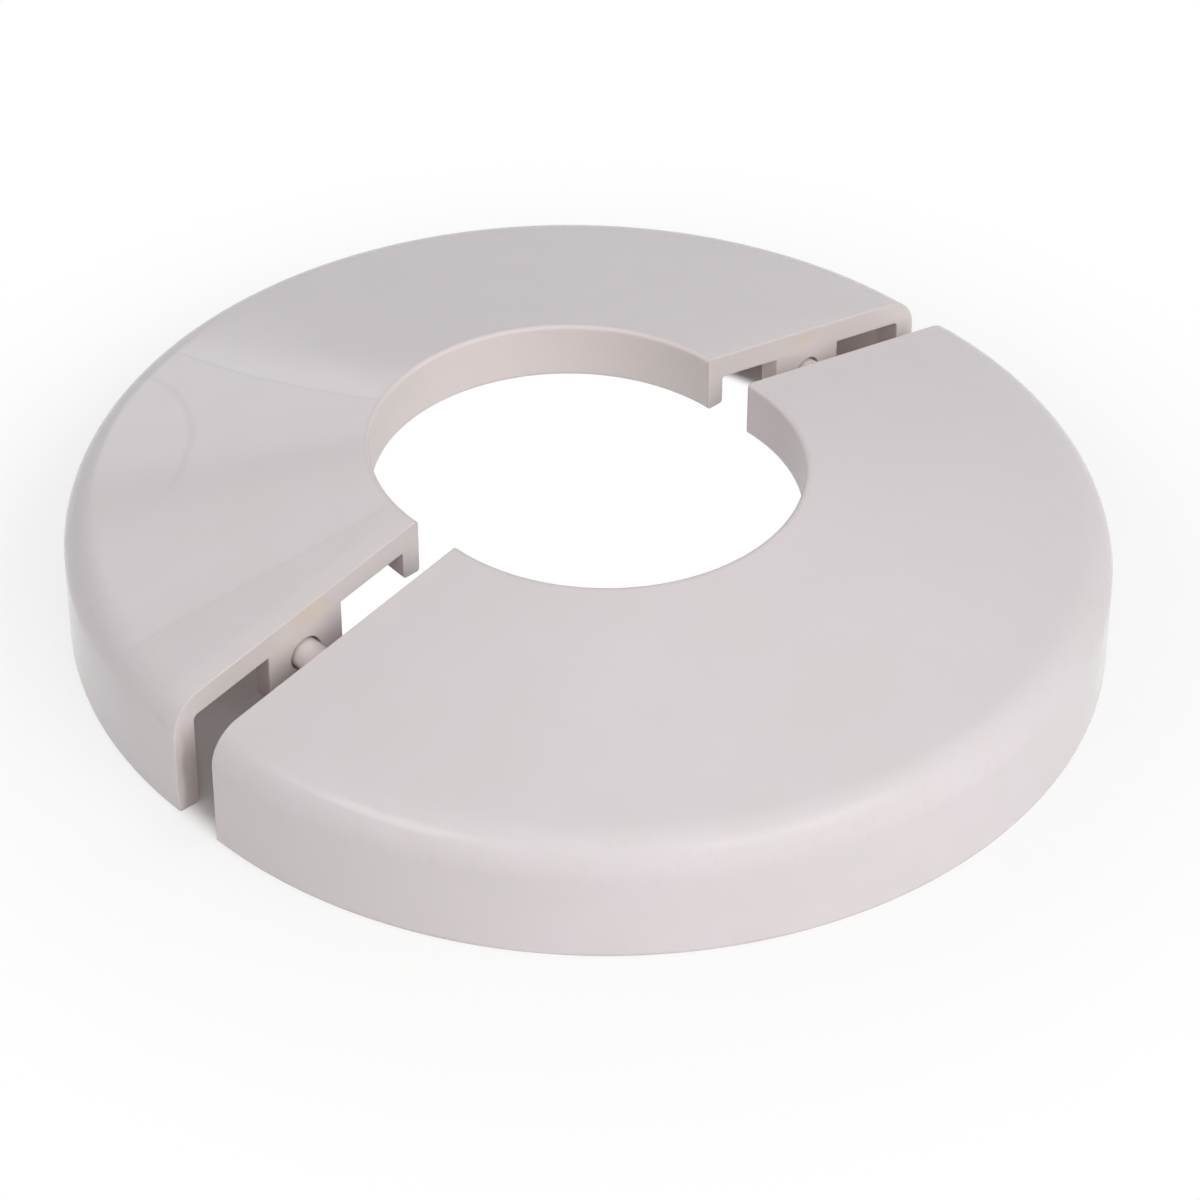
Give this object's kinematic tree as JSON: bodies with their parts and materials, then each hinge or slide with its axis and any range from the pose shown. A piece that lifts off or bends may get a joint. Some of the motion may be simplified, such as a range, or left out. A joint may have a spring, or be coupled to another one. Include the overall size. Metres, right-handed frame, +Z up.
{
  "type": "pool ladder escutcheon",
  "caption": "Two-half round cover with a sloping top that closes on moulded pegs round a pool ladder rail, standing on its skirt to hide the deck anchor.",
  "frame": {"origin": "centre of the footprint on the surface it stands on, midway between the two split faces", "axes": "+X along the split line, +Y along the pegs from the peg half towards the socket half, +Z up along the rail"},
  "size_m": [0.127, 0.134, 0.0239],
  "materials": {
    "moulded_white": "satin moulded ABS, off-white"
  },
  "bodies": {
    "socket_body": {"socket_half": "moulded_white"},
    "peg_body": {"peg_half": "moulded_white"}
  },
  "joints": [
    {"name": "peg_slide", "type": "slide", "parent": "socket_body", "child": "peg_body", "axis": [0, -1, 0], "range_m": [-0.0069, 0.005]}
  ]
}
